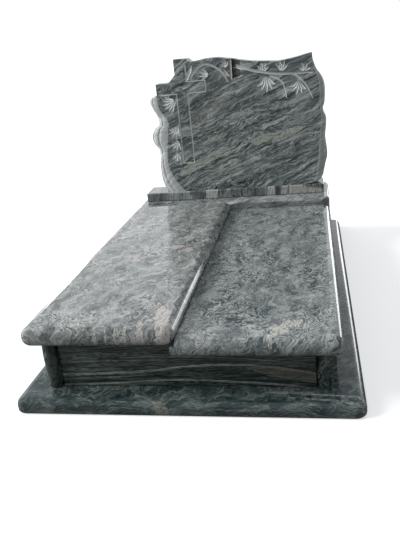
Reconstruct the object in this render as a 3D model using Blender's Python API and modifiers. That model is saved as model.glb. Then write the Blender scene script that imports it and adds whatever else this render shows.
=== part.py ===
"""Granite grave monument: base slab, hollow kerb box, two ledger slabs, rear block, plinth and headstone.

The monument lies along Y with its foot end at -Y and the headstone at +Y. Z is up and the ground is z = 0.
The origin is the middle of the base slab's underside. All sizes are in metres.
"""

import math

import bmesh
import bpy
from mathutils import Vector

# Clearances
JOINT = 0.0003
SLAB_JOINT = 0.0015

# Base slab, whose plan sets the size of all that stands on it
BASE_WIDTH = 1.100
BASE_LENGTH = 1.8495
BASE_THICKNESS = 0.050
BASE_MARGIN_SIDE = 0.0920
BASE_MARGIN_FRONT = 0.094
BASE_MARGIN_REAR = 0.1035
BASE_CORNER_RADIUS = 0.036
BASE_TOP_ROUND = 0.028
BASE_FOOT_ROUND = 0.010

# Kerb box: four upright panels that stand on the base slab and leave the middle empty
KERB_HEIGHT = 0.142
PANEL_THICKNESS = 0.050
CROSS_WALL_THICKNESS = 0.100

# Turned posts at the two front corners
POST_FOOT_RADIUS = 0.0210
POST_BELLY_RADIUS = 0.0260
POST_NECK_RADIUS = 0.0240
POST_BELLY_SHARE = 0.58
POST_PROUD = 0.022
POST_PROFILE_STEPS = 10
POST_SEGMENTS = 24

# Ledger slabs: the left one lies one step higher, and the right one reaches a short tongue under it
LEDGER_THICKNESS = 0.060
LEDGER_STEP = 0.038
LEDGER_OVERHANG_FRONT = 0.0815
LEDGER_OVERHANG_SIDE = 0.0330
LEDGER_CORNER_RADIUS = 0.034
LEDGER_EDGE_ROUND = 0.0285
TONGUE_LENGTH = 0.0145
TONGUE_CLEARANCE = 0.0010
ROUND_SEGMENTS = 5

# Rear block under the plinth
BLOCK_DEPTH = 0.350
BLOCK_HEIGHT = 0.090
BLOCK_OVERHANG_REAR = 0.0445
BLOCK_EDGE_ROUND = 0.014

# Plinth bar
PLINTH_MARGIN_SIDE = 0.025
PLINTH_DEPTH = 0.150
PLINTH_HEIGHT = 0.045
PLINTH_SET_BACK = 0.100
PLINTH_ARRIS = 0.004

# Headstone
HEADSTONE_WIDTH = 0.902
HEADSTONE_HEIGHT = 0.665
HEADSTONE_THICKNESS = 0.100
HEADSTONE_SET_BACK = 0.015
HEADSTONE_SHIFT = 0.040
LEFT_EDGE_DEPTH = 0.045
RIGHT_EDGE_DEPTH = 0.034
ARRIS = 0.004
EDGE_STEPS = 4
CURVE_STEPS = 3

# Carving on the headstone's face
CROSS_UPRIGHT_WIDTH = 0.058
CROSS_LINE_WIDTH = 0.007
STEM_WIDTH = 0.011
STEM_STEPS = 4
LEAF_DEPTH = 0.004
CUTTER_RAISE = 0.0006
FOLD_DEPTH = 0.014
FOLD_WIDTH = 0.062

# Places worked out from the sizes above
HALF_KERB = BASE_WIDTH / 2 - BASE_MARGIN_SIDE
PANEL_INNER_X = HALF_KERB - PANEL_THICKNESS
HALF_LEDGER = HALF_KERB + LEDGER_OVERHANG_SIDE
HALF_PLINTH = HALF_LEDGER - PLINTH_MARGIN_SIDE
KERB_FRONT_Y = BASE_MARGIN_FRONT - BASE_LENGTH / 2
KERB_REAR_Y = BASE_LENGTH / 2 - BASE_MARGIN_REAR
LEDGER_FRONT_Y = KERB_FRONT_Y - LEDGER_OVERHANG_FRONT
BLOCK_FRONT_Y = KERB_REAR_Y + BLOCK_OVERHANG_REAR - BLOCK_DEPTH
LEDGER_REAR_Y = BLOCK_FRONT_Y - 2 * SLAB_JOINT
PLINTH_FRONT_Y = BLOCK_FRONT_Y + PLINTH_SET_BACK
FACE_Y = PLINTH_FRONT_Y + HEADSTONE_SET_BACK
KERB_Z = BASE_THICKNESS + JOINT
KERB_TOP = KERB_Z + KERB_HEIGHT
RIGHT_LEDGER_Z = KERB_TOP + JOINT
LEFT_LEDGER_Z = RIGHT_LEDGER_Z + LEDGER_STEP
BLOCK_Z = KERB_TOP + JOINT
PLINTH_Z = BLOCK_Z + BLOCK_HEIGHT + JOINT
HEADSTONE_Z = PLINTH_Z + PLINTH_HEIGHT + JOINT
STEP_X = -TONGUE_LENGTH - JOINT
LEFT_TOP = KERB_TOP + LEDGER_STEP

# The headstone's free form is drawn on a pattern of this width and height, and scaled to its real size.
# A row of an edge is x, z and the width of the rounded band that the edge turns through.
PATTERN_WIDTH = 0.902
PATTERN_HEIGHT = 0.665
CROSS_X = -0.2590
CROSS_LEFT_X = -0.391
CROSS_RIGHT_X = -0.137
CROSS_ARM_LOW = 0.500
CROSS_ARM_HIGH = 0.555
CROSS_FOOT = 0.150
TOP_EDGE = [
    (-0.223, 0.663), (-0.207, 0.649), (-0.183, 0.648), (-0.131, 0.655), (-0.071, 0.655),
    (-0.027, 0.647), (0.002, 0.643), (0.041, 0.633), (0.114, 0.621), (0.211, 0.613),
    (0.259, 0.615), (0.317, 0.622), (0.355, 0.630), (0.389, 0.636),
]
RIGHT_EDGE = [
    (0.391, 0.606, 0.006), (0.408, 0.558, 0.012), (0.434, 0.520, 0.022), (0.445, 0.485, 0.027),
    (0.445, 0.438, 0.026), (0.442, 0.400, 0.024), (0.433, 0.369, 0.012), (0.449, 0.325, 0.026),
    (0.445, 0.272, 0.027), (0.442, 0.229, 0.029), (0.450, 0.148, 0.044), (0.438, 0.093, 0.040),
    (0.431, 0.062, 0.038), (0.424, 0.034, 0.034), (0.403, 0.012, 0.026), (0.352, 0.000, 0.012),
]
LEFT_EDGE = [
    (-0.400, 0.000, 0.106), (-0.413, 0.026, 0.098), (-0.422, 0.060, 0.083), (-0.425, 0.098, 0.068),
    (-0.424, 0.147, 0.053), (-0.418, 0.205, 0.048), (-0.421, 0.227, 0.055),
]
LOBE_EDGE = [
    (-0.421, 0.227, 0.055), (-0.436, 0.246, 0.072), (-0.447, 0.264, 0.086), (-0.451, 0.289, 0.095),
    (-0.444, 0.314, 0.090), (-0.427, 0.336, 0.076), (-0.407, 0.347, 0.062),
]
SHOULDER_EDGE = [
    (-0.407, 0.347, 0.062), (-0.404, 0.377, 0.054), (-0.414, 0.407, 0.046), (-0.427, 0.430, 0.044),
    (-0.441, 0.468, 0.050), (-0.433, 0.487, 0.042), (-0.414, 0.496, 0.022), (-0.392, 0.499, 0.004),
]
UPRIGHT_LEFT_X = CROSS_X - CROSS_UPRIGHT_WIDTH / 2
CORNER_FILLET = 0.036
CROSS_HEAD_LINE_END = 0.635
FOLD_X = 0.002
FOLD_FOOT = 0.549

# Leaf sprays on the pattern. A stem is a few points that a smooth curve runs through.
STEMS = {
    "arch": [(-0.233, 0.549), (-0.207, 0.594), (-0.133, 0.630), (-0.062, 0.595), (-0.022, 0.535)],
    "long branch": [(0.020, 0.609), (0.109, 0.577), (0.232, 0.552), (0.392, 0.546)],
    "middle twig": [(0.176, 0.552), (0.240, 0.512), (0.253, 0.455)],
    "outer twig": [(0.292, 0.547), (0.314, 0.532), (0.322, 0.505)],
    "end twig": [(0.300, 0.546), (0.350, 0.494), (0.386, 0.424)],
    "low branch": [(-0.290, 0.480), (-0.318, 0.430), (-0.326, 0.395)],
    "low twig": [(-0.292, 0.345), (-0.312, 0.300), (-0.316, 0.255)],
}

# Leaves fan out from a root on a stem. A row is the root's x and z, the middle leaf's direction from +X
# towards +Z and the fan's whole spread in degrees, the number of leaves, and the middle leaf's length
# and width.
SPRAYS = [
    (0.147, 0.560, 80, 84, 4, 0.052, 0.0135),
    (0.239, 0.558, 82, 83, 4, 0.052, 0.0135),
    (0.348, 0.551, 83, 117, 4, 0.040, 0.0125),
    (0.161, 0.551, 273, 84, 5, 0.078, 0.0135),
    (0.322, 0.509, 257, 99, 5, 0.062, 0.0125),
    (0.254, 0.478, 263, 34, 2, 0.050, 0.0110),
    (-0.113, 0.576, 170, 77, 4, 0.056, 0.0125),
    (-0.026, 0.601, 108, 78, 4, 0.044, 0.0120),
    (-0.233, 0.540, 63, 0, 1, 0.086, 0.0180),
    (-0.042, 0.606, 292, 26, 2, 0.070, 0.0120),
    (-0.295, 0.471, 208, 85, 5, 0.072, 0.0135),
    (-0.294, 0.340, 228, 70, 4, 0.062, 0.0130),
    (-0.302, 0.268, 244, 58, 3, 0.050, 0.0120),
]
LEAF_ROOT_GAP = 0.10
OUTER_LEAF_SHORTER = 0.22


def clear_scene():
    """Empties the file, so that the monument is all that it holds."""
    for item in list(bpy.data.objects):
        bpy.data.objects.remove(item, do_unlink=True)


def make_collection(name, helper=False):
    """Links a new collection to the scene; a helper collection stays out of renders."""
    collection = bpy.data.collections.new(name)
    bpy.context.scene.collection.children.link(collection)
    collection.hide_render = helper
    return collection


def granite(name, colour, roughness):
    """A polished stone with the piece's own average colour."""
    material = bpy.data.materials.new(name)
    material.use_nodes = True
    shader = material.node_tree.nodes["Principled BSDF"]
    shader.inputs["Base Color"].default_value = (*colour, 1.0)
    shader.inputs["Roughness"].default_value = roughness
    shader.inputs["Metallic"].default_value = 0.0
    return material


def add_object(name, bm, collection, material=None):
    """Turns a finished bmesh into an object of its own."""
    bmesh.ops.recalc_face_normals(bm, faces=bm.faces)
    mesh = bpy.data.meshes.new(name)
    bm.to_mesh(mesh)
    bm.free()
    item = bpy.data.objects.new(name, mesh)
    collection.objects.link(item)
    if material:
        mesh.materials.append(material)
    return item


def add_cutter(name, bm, collection):
    """A helper that a Boolean subtracts."""
    item = add_object(name, bm, collection)
    item.hide_render = True
    item.display_type = "WIRE"
    return item


def cut(target, cutter, overlapping=False):
    """Subtracts the cutter from the target."""
    modifier = target.modifiers.new(cutter.name, "BOOLEAN")
    modifier.operation = "DIFFERENCE"
    modifier.solver = "EXACT"
    modifier.use_self = overlapping
    modifier.object = cutter


def box_bmesh(low, high):
    """A cube stretched to reach from one corner to the opposite one."""
    bm = bmesh.new()
    bmesh.ops.create_cube(bm, size=1.0)
    size = Vector(high) - Vector(low)
    middle = (Vector(high) + Vector(low)) / 2
    bmesh.ops.scale(bm, vec=size, verts=bm.verts)
    bmesh.ops.translate(bm, vec=middle, verts=bm.verts)
    return bm


def edge_lies(edge, tests):
    """True where both ends of the edge pass every test."""
    return all(test(vert.co) for vert in edge.verts for test in tests)


def round_edges(bm, chosen, radius, segments):
    """Rounds the chosen edges to a radius."""
    bmesh.ops.bevel(
        bm,
        geom=chosen,
        offset=radius,
        offset_type="OFFSET",
        segments=segments,
        profile=0.5,
        affect="EDGES",
        clamp_overlap=True,
        material=-1,
    )


def slab_bmesh(low, high, corner, top_round, foot_round, square_left=False):
    """A slab with rounded plan corners and rims. A square left side keeps its corners and rim sharp."""
    bm = box_bmesh(low, high)
    left = low[0] + corner / 2
    upright = [
        edge
        for edge in bm.edges
        if abs(edge.verts[0].co.z - edge.verts[1].co.z) > (high[2] - low[2]) / 2
        and not (square_left and edge.verts[0].co.x < left)
    ]
    round_edges(bm, upright, corner, ROUND_SEGMENTS)

    def rim(height):
        chosen = []
        for edge in bm.edges:
            if not edge_lies(edge, [lambda co: abs(co.z - height) < JOINT]):
                continue
            if square_left and edge_lies(edge, [lambda co: co.x < left]):
                continue
            chosen.append(edge)
        return chosen

    round_edges(bm, rim(high[2]), top_round, ROUND_SEGMENTS)
    round_edges(bm, rim(low[2]), foot_round, ROUND_SEGMENTS)
    return bm


def outline_object(name, points, thickness, collection, material=None):
    """A flat outline made solid: a filled 2D curve with an extrusion, made a welded mesh at the origin.

    The outline lies in the curve's XY plane, and the solid reaches half its thickness to each side.
    """
    curve = bpy.data.curves.new(name, "CURVE")
    curve.dimensions = "2D"
    curve.fill_mode = "BOTH"
    curve.extrude = thickness / 2
    spline = curve.splines.new("POLY")
    spline.points.add(len(points) - 1)
    for place, (x, y) in zip(spline.points, points):
        place.co = (x, y, 0.0, 1.0)
    spline.use_cyclic_u = True
    return curve_to_mesh(name, curve, collection, material)


def curve_to_mesh(name, curve, collection, material=None):
    """Replaces a curve by the mesh that it draws, with its caps welded."""
    drawn = bpy.data.objects.new(name + "_curve", curve)
    collection.objects.link(drawn)
    graph = bpy.context.evaluated_depsgraph_get()
    mesh = bpy.data.meshes.new_from_object(drawn.evaluated_get(graph))
    bpy.data.objects.remove(drawn, do_unlink=True)
    bm = bmesh.new()
    bm.from_mesh(mesh)
    bmesh.ops.remove_doubles(bm, verts=bm.verts, dist=0.00001)
    bpy.data.meshes.remove(mesh)
    return add_object(name, bm, collection, material)


def make_base(collection):
    """The widest slab, with a rounded rim, flat on the ground."""
    low = (-BASE_WIDTH / 2, -BASE_LENGTH / 2, 0.0)
    high = (BASE_WIDTH / 2, BASE_LENGTH / 2, BASE_THICKNESS)
    bm = slab_bmesh(low, high, BASE_CORNER_RADIUS, BASE_TOP_ROUND, BASE_FOOT_ROUND)
    add_object("base_slab", bm, collection, granite("Base granite", (0.090, 0.105, 0.110), 0.16))


def make_panels(collection):
    """The kerb box. Its left half is one step higher, where it carries the higher ledger slab."""
    stone = granite("Kerb granite", (0.060, 0.070, 0.066), 0.18)
    half = PANEL_INNER_X - JOINT

    front = outline_object(
        "front_panel",
        [
            (-half, KERB_Z),
            (half, KERB_Z),
            (half, KERB_TOP),
            (STEP_X, KERB_TOP),
            (STEP_X, LEFT_TOP),
            (-half, LEFT_TOP),
        ],
        PANEL_THICKNESS,
        collection,
        stone,
    )
    front.rotation_euler = (math.radians(90), 0, 0)
    front.location = (0, KERB_FRONT_Y + PANEL_THICKNESS / 2, 0)

    side_front = KERB_FRONT_Y - POST_PROUD + 2 * POST_BELLY_RADIUS + JOINT
    left = outline_object(
        "left_panel",
        [
            (side_front, KERB_Z),
            (KERB_REAR_Y, KERB_Z),
            (KERB_REAR_Y, KERB_TOP),
            (LEDGER_REAR_Y, KERB_TOP),
            (LEDGER_REAR_Y, LEFT_TOP),
            (side_front, LEFT_TOP),
        ],
        PANEL_THICKNESS,
        collection,
        stone,
    )
    left.rotation_euler = (math.radians(90), 0, math.radians(90))
    left.location = (-HALF_KERB + PANEL_THICKNESS / 2, 0, 0)

    low = (PANEL_INNER_X, side_front, KERB_Z)
    high = (HALF_KERB, KERB_REAR_Y, KERB_TOP)
    add_object("right_panel", box_bmesh(low, high), collection, stone)

    low = (-half, KERB_REAR_Y - PANEL_THICKNESS, KERB_Z)
    high = (half, KERB_REAR_Y, KERB_TOP)
    add_object("back_panel", box_bmesh(low, high), collection, stone)
    return stone


def make_cross_wall(collection, cutters, stone):
    """The inner wall that carries the ledger slabs' rear ends and the front of the rear block."""
    half = PANEL_INNER_X - JOINT
    reach = PANEL_THICKNESS
    low = (-half, LEDGER_REAR_Y - CROSS_WALL_THICKNESS / 2, KERB_Z)
    high = (half, LEDGER_REAR_Y + CROSS_WALL_THICKNESS / 2, LEFT_TOP)
    wall = add_object("cross_wall", box_bmesh(low, high), collection, stone)
    # The raised seat under the higher slab is what stays when the wall's other upper parts are cut away.
    far = (half + reach, high[1] + reach, LEFT_TOP + reach)
    right_box = box_bmesh((STEP_X, low[1] - reach, KERB_TOP), far)
    cut(wall, add_cutter("under_right_slab", right_box, cutters))
    rear_box = box_bmesh((-half - reach, LEDGER_REAR_Y, KERB_TOP), far)
    cut(wall, add_cutter("under_block", rear_box, cutters))


def post_profile(height):
    """Radius and height along a post: a narrow foot, a full belly and a slightly drawn-in neck."""
    rows = []
    belly = POST_BELLY_SHARE * height
    for step in range(POST_PROFILE_STEPS + 1):
        z = height * step / POST_PROFILE_STEPS
        if z < belly:
            swell = math.sin(math.pi / 2 * z / belly)
            radius = POST_FOOT_RADIUS + (POST_BELLY_RADIUS - POST_FOOT_RADIUS) * swell
        else:
            draw = math.sin(math.pi / 2 * (z - belly) / (height - belly)) ** 2
            radius = POST_BELLY_RADIUS + (POST_NECK_RADIUS - POST_BELLY_RADIUS) * draw
        rows.append((radius, z))
    return rows


def make_post(name, side, height, collection, material):
    """A turned post, as a profile that a Screw modifier turns once around Z."""
    rows = post_profile(height)
    points = [(0.0, height)] + [(radius, z) for radius, z in reversed(rows)] + [(0.0, 0.0)]
    mesh = bpy.data.meshes.new(name)
    chain = [(index, index + 1) for index in range(len(points) - 1)]
    mesh.from_pydata([(x, 0.0, z) for x, z in points], chain, [])
    mesh.materials.append(material)
    post = bpy.data.objects.new(name, mesh)
    collection.objects.link(post)
    turn = post.modifiers.new("Turn", "SCREW")
    turn.axis = "Z"
    turn.steps = POST_SEGMENTS
    turn.render_steps = POST_SEGMENTS
    turn.use_merge_vertices = True
    turn.merge_threshold = 0.00001
    turn.use_smooth_shade = True
    reach = PANEL_INNER_X + JOINT + POST_BELLY_RADIUS
    depth = KERB_FRONT_Y - POST_PROUD + POST_BELLY_RADIUS
    post.location = (side * reach, depth, KERB_Z)
    return post


def make_posts(collection):
    """The two front corners' posts, each as high as the kerb beside it."""
    stone = granite("Post granite", (0.045, 0.055, 0.052), 0.14)
    make_post("front_post_left", -1, LEFT_TOP - KERB_Z, collection, stone)
    make_post("front_post_right", 1, KERB_TOP - KERB_Z, collection, stone)


def make_ledgers(collection, cutters):
    """The two cover slabs, side by side, with a rebate in the right one under the left one's rounded edge."""
    low = (-HALF_LEDGER, LEDGER_FRONT_Y, LEFT_LEDGER_Z)
    high = (-SLAB_JOINT / 2, LEDGER_REAR_Y, LEFT_LEDGER_Z + LEDGER_THICKNESS)
    bm = slab_bmesh(low, high, LEDGER_CORNER_RADIUS, LEDGER_EDGE_ROUND, LEDGER_EDGE_ROUND)
    stone = granite("Left ledger granite", (0.330, 0.345, 0.345), 0.10)
    add_object("ledger_left", bm, collection, stone)

    low = (-TONGUE_LENGTH, LEDGER_FRONT_Y, RIGHT_LEDGER_Z)
    high = (HALF_LEDGER, LEDGER_REAR_Y, RIGHT_LEDGER_Z + LEDGER_THICKNESS)
    bm = slab_bmesh(low, high, LEDGER_CORNER_RADIUS, LEDGER_EDGE_ROUND, LEDGER_EDGE_ROUND, square_left=True)
    stone = granite("Right ledger granite", (0.230, 0.235, 0.220), 0.12)
    slab = add_object("ledger_right", bm, collection, stone)
    reach = LEDGER_THICKNESS
    low = (-TONGUE_LENGTH - reach, LEDGER_FRONT_Y - reach, LEFT_LEDGER_Z - TONGUE_CLEARANCE)
    high = (SLAB_JOINT / 2, LEDGER_REAR_Y + reach, RIGHT_LEDGER_Z + LEDGER_THICKNESS + reach)
    cut(slab, add_cutter("rebate", box_bmesh(low, high), cutters))


def make_rear_block(collection):
    """The block across the head end that carries the plinth."""
    low = (-HALF_LEDGER, BLOCK_FRONT_Y, BLOCK_Z)
    high = (HALF_LEDGER, BLOCK_FRONT_Y + BLOCK_DEPTH, BLOCK_Z + BLOCK_HEIGHT)
    bm = slab_bmesh(low, high, LEDGER_CORNER_RADIUS, BLOCK_EDGE_ROUND, BLOCK_EDGE_ROUND / 2)
    add_object("rear_block", bm, collection, granite("Rear block granite", (0.130, 0.145, 0.145), 0.14))


def make_plinth(collection):
    """The bar under the headstone, with a small arris all round."""
    low = (-HALF_PLINTH, PLINTH_FRONT_Y, PLINTH_Z)
    high = (HALF_PLINTH, PLINTH_FRONT_Y + PLINTH_DEPTH, PLINTH_Z + PLINTH_HEIGHT)
    bm = box_bmesh(low, high)
    round_edges(bm, list(bm.edges), PLINTH_ARRIS, 2)
    add_object("plinth", bm, collection, granite("Plinth granite", (0.150, 0.155, 0.150), 0.14))


def through(rows, steps):
    """Points along a smooth curve through the rows, ends included. A row may hold any count of numbers."""
    found = []
    for index in range(len(rows) - 1):
        before = rows[max(index - 1, 0)]
        start = rows[index]
        end = rows[index + 1]
        after = rows[min(index + 2, len(rows) - 1)]
        for step in range(steps):
            t = step / steps
            weights = (
                (-t + 2 * t**2 - t**3) / 2,
                (2 - 5 * t**2 + 3 * t**3) / 2,
                (t + 4 * t**2 - 3 * t**3) / 2,
                (t**3 - t**2) / 2,
            )
            found.append(
                tuple(
                    weights[0] * a + weights[1] * b + weights[2] * c + weights[3] * d
                    for a, b, c, d in zip(before, start, end, after)
                )
            )
    found.append(tuple(rows[-1]))
    return found


def headstone_rows():
    """The whole outline as rows of x, z, band width towards the middle and band depth, once around."""
    rows = []
    for x, z in through(TOP_EDGE, CURVE_STEPS):
        rows.append((x, z, 0.0, ARRIS))
    for x, z, band in through(RIGHT_EDGE, CURVE_STEPS):
        rows.append((x, z, -band, min(RIGHT_EDGE_DEPTH, max(ARRIS, 1.3 * band))))
    left = through(LEFT_EDGE, CURVE_STEPS)
    left += through(LOBE_EDGE, CURVE_STEPS)[1:]
    left += through(SHOULDER_EDGE, CURVE_STEPS)[1:]
    for x, z, band in left:
        rows.append((x, z, band, min(LEFT_EDGE_DEPTH, max(ARRIS, band))))
    corner = [
        (CROSS_LEFT_X, CROSS_ARM_LOW + ARRIS),
        (CROSS_LEFT_X, CROSS_ARM_HIGH),
        (UPRIGHT_LEFT_X - CORNER_FILLET, CROSS_ARM_HIGH),
        (UPRIGHT_LEFT_X, CROSS_ARM_HIGH + CORNER_FILLET),
        (UPRIGHT_LEFT_X, PATTERN_HEIGHT),
    ]
    for x, z in corner:
        rows.append((x, z, 0.0, ARRIS))
    return rows


def place(x, z):
    """A pattern point on the real headstone, relative to the middle of its foot."""
    wide = HEADSTONE_WIDTH / PATTERN_WIDTH
    tall = HEADSTONE_HEIGHT / PATTERN_HEIGHT
    return x * wide + HEADSTONE_SHIFT, z * tall


def make_headstone(collection):
    """The free-form stone: rings of the outline that turn through the rounded bands, with face and back."""
    rows = headstone_rows()
    bm = bmesh.new()
    rings = [[bm.verts.new(spot(row, 0.0, HEADSTONE_THICKNESS)) for row in rows]]
    for step in range(EDGE_STEPS + 1):
        turn = math.pi / 2 * step / EDGE_STEPS
        inward = 1 - math.cos(turn)
        depth = 1 - math.sin(turn)
        rings.append([bm.verts.new(spot(row, inward, row[3] * depth)) for row in rows])
    count = len(rows)
    for ring, following in zip(rings, rings[1:]):
        for index in range(count):
            other = (index + 1) % count
            bm.faces.new((ring[index], ring[other], following[other], following[index]))
    bm.faces.new(rings[0])
    bm.faces.new(rings[-1])
    stone = granite("Headstone granite", (0.105, 0.125, 0.122), 0.12)
    item = add_object("headstone", bm, collection, stone)
    item.location = (0.0, FACE_Y, HEADSTONE_Z)
    return item


def spot(row, inward, depth):
    """The place of an outline row on one ring, with the face at depth 0."""
    x, z, band, band_depth = row
    if band == 0.0:
        inset = 0.0
    else:
        inset = band * inward
    px, pz = place(x + inset, z)
    return px, depth, pz


def groove_cutter(name, points, width, raised, cutters):
    """A round bar laid along the face and raised a little from it, so that its lower half cuts a groove."""
    curve = bpy.data.curves.new(name, "CURVE")
    curve.dimensions = "3D"
    curve.bevel_depth = width / 2
    curve.bevel_resolution = 1
    curve.use_fill_caps = True
    spline = curve.splines.new("POLY")
    spline.points.add(len(points) - 1)
    for target, (x, z) in zip(spline.points, points):
        px, pz = place(x, z)
        target.co = (px, 0.0, pz, 1.0)
    item = curve_to_mesh(name, curve, cutters)
    item.hide_render = True
    item.display_type = "WIRE"
    item.location = (0.0, FACE_Y - raised, HEADSTONE_Z)
    return item


def cross_line():
    """The cut line that completes the cross whose left arm and head are the stone's own outline."""
    left = UPRIGHT_LEFT_X
    right = CROSS_X + CROSS_UPRIGHT_WIDTH / 2
    return [
        (CROSS_LEFT_X + 2 * ARRIS, CROSS_ARM_LOW),
        (left, CROSS_ARM_LOW),
        (left, CROSS_FOOT),
        (right, CROSS_FOOT),
        (right, CROSS_ARM_LOW),
        (CROSS_RIGHT_X, CROSS_ARM_LOW),
        (CROSS_RIGHT_X, CROSS_ARM_HIGH),
        (right, CROSS_ARM_HIGH),
        (right, CROSS_HEAD_LINE_END),
    ]


def leaf_lines():
    """Every leaf's foot, tip and width: the leaves of a spray fan out evenly, the outer ones shorter."""
    lines = []
    for root_x, root_z, aim, spread, count, length, width in SPRAYS:
        for order in range(count):
            share = 2 * order / (count - 1) - 1 if count > 1 else 0.0
            angle = math.radians(aim + spread / 2 * share)
            reach = length * (1 - OUTER_LEAF_SHORTER * abs(share))
            gap = length * LEAF_ROOT_GAP
            ends = [
                Vector(place(root_x + far * math.cos(angle), root_z + far * math.sin(angle)))
                for far in (gap, gap + reach)
            ]
            lines.append((*ends, width))
    return lines


def leaf_cutter(cutters):
    """All leaves as flat ellipsoids that lie half in the face."""
    bm = bmesh.new()
    for foot, tip, width in leaf_lines():
        along = tip - foot
        middle = (tip + foot) / 2
        found = bmesh.ops.create_uvsphere(bm, u_segments=8, v_segments=6, radius=1.0)
        verts = found["verts"]
        bmesh.ops.scale(bm, vec=(width / 2, LEAF_DEPTH, along.length / 2), verts=verts)
        angle = math.atan2(along.x, along.y)
        for vert in verts:
            x = vert.co.x * math.cos(angle) + vert.co.z * math.sin(angle)
            z = -vert.co.x * math.sin(angle) + vert.co.z * math.cos(angle)
            vert.co = (x + middle.x, vert.co.y, z + middle.y)
    item = add_cutter("leaves", bm, cutters)
    item.location = (0.0, FACE_Y - CUTTER_RAISE / 2, HEADSTONE_Z)
    return item


def fold_cutter(cutters):
    """The hollow beside the short upright fold at the top: deepest at the fold, running out to the right."""
    fold_x, low = place(FOLD_X, FOLD_FOOT)
    high = place(FOLD_X, PATTERN_HEIGHT)[1]
    outline = [(fold_x, -ARRIS), (fold_x, FOLD_DEPTH), (fold_x + FOLD_WIDTH, -ARRIS)]
    item = outline_object("fold", outline, high - low, cutters)
    item.hide_render = True
    item.display_type = "WIRE"
    item.location = (0.0, FACE_Y, HEADSTONE_Z + (high + low) / 2)
    return item


def carve(stone, cutters):
    """The cross line, the sprays and the fold, cut into the face."""
    cut(stone, fold_cutter(cutters))
    cut(stone, groove_cutter("cross_line", cross_line(), CROSS_LINE_WIDTH, CUTTER_RAISE, cutters))
    for order, (name, points) in enumerate(STEMS.items(), start=1):
        raised = CUTTER_RAISE * (1 + order / 4)
        line = through(points, STEM_STEPS)
        bar = groove_cutter(name.replace(" ", "_"), line, STEM_WIDTH, raised, cutters)
        cut(stone, bar)
    cut(stone, leaf_cutter(cutters), overlapping=True)


def main():
    clear_scene()
    monument = make_collection("granite_grave_monument")
    cutters = make_collection("cutters", helper=True)
    make_base(monument)
    stone = make_panels(monument)
    make_cross_wall(monument, cutters, stone)
    make_posts(monument)
    make_ledgers(monument, cutters)
    make_rear_block(monument)
    make_plinth(monument)
    carve(make_headstone(monument), cutters)


main()
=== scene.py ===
# %% [markdown]
# A granite grave monument, as a lesson in scripting Blender.
#
# The real object is a stack of polished granite pieces: a wide base slab, a low kerb box with a turned
# post at each front corner, two cover slabs at two levels, a rear block, a plinth bar and a free-form
# headstone with a cut cross and leaf sprays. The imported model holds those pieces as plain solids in
# metres. This script keeps their places and gives every piece its fine rims, carving and stone.

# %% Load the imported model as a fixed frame
import math

import bmesh
import bpy
from mathutils import Matrix, Vector


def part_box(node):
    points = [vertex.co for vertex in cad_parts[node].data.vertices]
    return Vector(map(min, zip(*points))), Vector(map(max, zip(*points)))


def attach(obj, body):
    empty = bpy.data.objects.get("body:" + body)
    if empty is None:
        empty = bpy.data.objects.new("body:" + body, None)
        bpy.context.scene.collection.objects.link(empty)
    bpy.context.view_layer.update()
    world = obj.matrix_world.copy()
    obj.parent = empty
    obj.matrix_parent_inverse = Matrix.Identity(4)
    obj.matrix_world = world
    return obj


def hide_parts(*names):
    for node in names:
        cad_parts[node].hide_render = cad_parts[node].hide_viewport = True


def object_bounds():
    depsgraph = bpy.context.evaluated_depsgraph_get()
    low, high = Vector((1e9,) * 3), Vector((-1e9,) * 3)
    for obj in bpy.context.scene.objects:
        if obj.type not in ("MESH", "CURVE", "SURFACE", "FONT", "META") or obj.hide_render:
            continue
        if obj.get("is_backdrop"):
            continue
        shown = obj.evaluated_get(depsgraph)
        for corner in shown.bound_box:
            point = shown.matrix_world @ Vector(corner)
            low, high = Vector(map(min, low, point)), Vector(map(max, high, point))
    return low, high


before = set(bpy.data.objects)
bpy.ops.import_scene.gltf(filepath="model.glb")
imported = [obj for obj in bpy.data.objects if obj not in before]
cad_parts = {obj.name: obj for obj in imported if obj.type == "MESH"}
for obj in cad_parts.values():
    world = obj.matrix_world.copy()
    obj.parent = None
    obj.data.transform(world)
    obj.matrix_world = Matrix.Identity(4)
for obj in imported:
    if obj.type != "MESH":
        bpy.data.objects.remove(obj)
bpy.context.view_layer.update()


def link(name, data):
    """A new object in the scene that shows the data."""
    item = bpy.data.objects.new(name, data)
    bpy.context.scene.collection.objects.link(item)
    return item


def link_mesh(name, bm):
    """A new object that holds the bmesh, which is used up."""
    mesh = bpy.data.meshes.new(name)
    bm.to_mesh(mesh)
    bm.free()
    return link(name, mesh)


# %% [markdown]
# The camera. A photograph of a box-like object fixes its camera: straight edges that meet far away say
# how the camera is turned, and their spread says how long its lens is. Here the lens length was fitted in
# pixels of the picture's long side and is turned into millimetres for Blender's 36 mm sensor. The
# rotation is written as three turns (yaw, pitch, roll), because those can be read and checked by eye.

# %% Camera
PICTURE_SIZE = (400, 533)
LENS_IN_PIXELS = 595.0
SENSOR = 36.0
CAMERA_PLACE = Vector((0.420, -2.410, 1.0575))
CAMERA_YAW = 0.2077
CAMERA_PITCH = 0.3580
CAMERA_ROLL = 0.1062
FARTHEST_SEEN = 200.0


def camera_axes(yaw, pitch, roll):
    """The camera's right, up and forward directions."""
    forward = Vector((-math.sin(yaw) * math.cos(pitch), math.cos(yaw) * math.cos(pitch), -math.sin(pitch)))
    level = Vector((math.cos(yaw), math.sin(yaw), 0.0))
    down = forward.cross(level)
    right = math.cos(roll) * level + math.sin(roll) * down
    up = math.sin(roll) * level - math.cos(roll) * down
    return right, up, forward


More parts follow.
